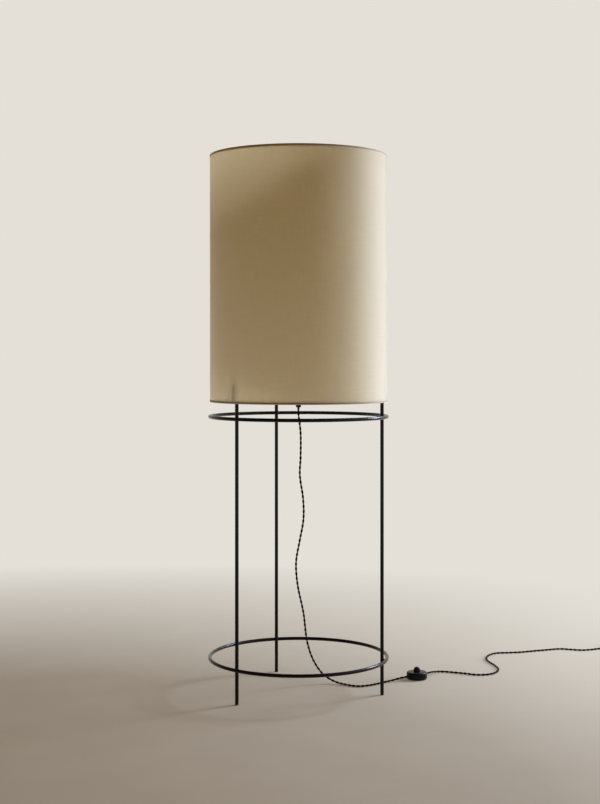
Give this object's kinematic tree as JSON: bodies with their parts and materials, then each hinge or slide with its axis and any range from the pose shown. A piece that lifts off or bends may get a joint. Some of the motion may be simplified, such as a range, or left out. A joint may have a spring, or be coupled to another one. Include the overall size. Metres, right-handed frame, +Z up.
{
  "type": "column floor lamp",
  "caption": "Floor lamp with a tall fabric drum shade on a slim three-legged frame of round bar, and a twisted cord with a foot switch.",
  "frame": {"origin": "on the floor, on the vertical axis of the shade and of both rings", "axes": "+Z up along the shade's axis; -Y towards the viewer; the cord leaves towards +X"},
  "size_m": [1.3644, 0.948, 1.51],
  "materials": {
    "black_powder_coat": "satin, very fine orange peel",
    "glide_nylon": "moulded",
    "zinc_plated_steel": "satin",
    "black_bakelite": "moulded, semi-gloss",
    "white_porcelain": "glazed",
    "contact_brass": "stamped",
    "lead_sleeve": "extruded",
    "frosted_glass": "clear",
    "nickel_cap": "rolled thread",
    "bulb_insulator": "glassy",
    "filament_phosphor": "coated",
    "shade_fabric": "plain weave",
    "shade_liner": "smooth film",
    "white_enamel": "gloss",
    "switch_plastic": "moulded",
    "cord_textile": "braided sleeve on a twisted pair",
    "plug_pvc": "moulded, matt"
  },
  "bodies": {
    "lamp": {"leg_left": "black_powder_coat", "leg_right": "black_powder_coat", "leg_rear": "black_powder_coat", "glide_left": "glide_nylon", "glide_right": "glide_nylon", "glide_rear": "glide_nylon", "upper_ring": "black_powder_coat", "lower_ring": "black_powder_coat", "upper_ring_welds": "black_powder_coat", "lower_ring_welds": "black_powder_coat", "bridge_hub": "black_powder_coat", "bridge_arms": "black_powder_coat", "nipple": "zinc_plated_steel", "toothed_washer": "zinc_plated_steel", "lock_nut": "zinc_plated_steel", "cord_gland": "black_bakelite", "holder_leads": "lead_sleeve", "holder_cap": "black_bakelite", "holder_skirt": "black_bakelite", "holder_insert": "white_porcelain", "threaded_shell": "contact_brass", "centre_contact": "contact_brass", "terminal_screws": "zinc_plated_steel", "bulb_glass": "frosted_glass", "bulb_cap": "nickel_cap", "bulb_tip": "bulb_insulator", "bulb_stem": "frosted_glass", "bulb_filaments": "filament_phosphor", "shade_cover": "shade_fabric", "shade_liner": "shade_liner", "top_wire_ring": "zinc_plated_steel", "bottom_wire_ring": "zinc_plated_steel", "spider_arms": "white_enamel", "spider_ring": "white_enamel", "shade_nut": "black_bakelite", "switch_base": "switch_plastic", "switch_cover": "switch_plastic", "button_spring": "zinc_plated_steel", "contact_block": "black_bakelite", "contact_strips": "contact_brass", "clamp_bars": "black_bakelite", "clamp_screws": "zinc_plated_steel", "case_screws": "zinc_plated_steel", "lamp_cord": "cord_textile", "mains_cord": "cord_textile", "cord_coil": "cord_textile", "cord_tail": "cord_textile", "plug_relief": "plug_pvc", "plug_body": "plug_pvc", "plug_pins": "nickel_cap"},
    "button": {"switch_button": "switch_plastic"},
    "rotor": {"contact_rotor": "contact_brass"}
  },
  "joints": [
    {"name": "button_press", "type": "slide", "parent": "lamp", "child": "button", "axis": [0, 0, -1], "range_m": [0, 0.004], "stiffness_N_per_m": 400, "springref_m": -0.003, "deforming": ["button_spring"]},
    {"name": "rotor_turn", "type": "hinge", "parent": "lamp", "child": "rotor", "pos_m": [0.346, 0.137, 0.0083], "axis": [0, 0, 1], "range_deg": [0, 90]}
  ],
  "couplings": [
    {"joint": "rotor_turn", "follows": "button_press", "rad_per_m": 196.3}
  ]
}
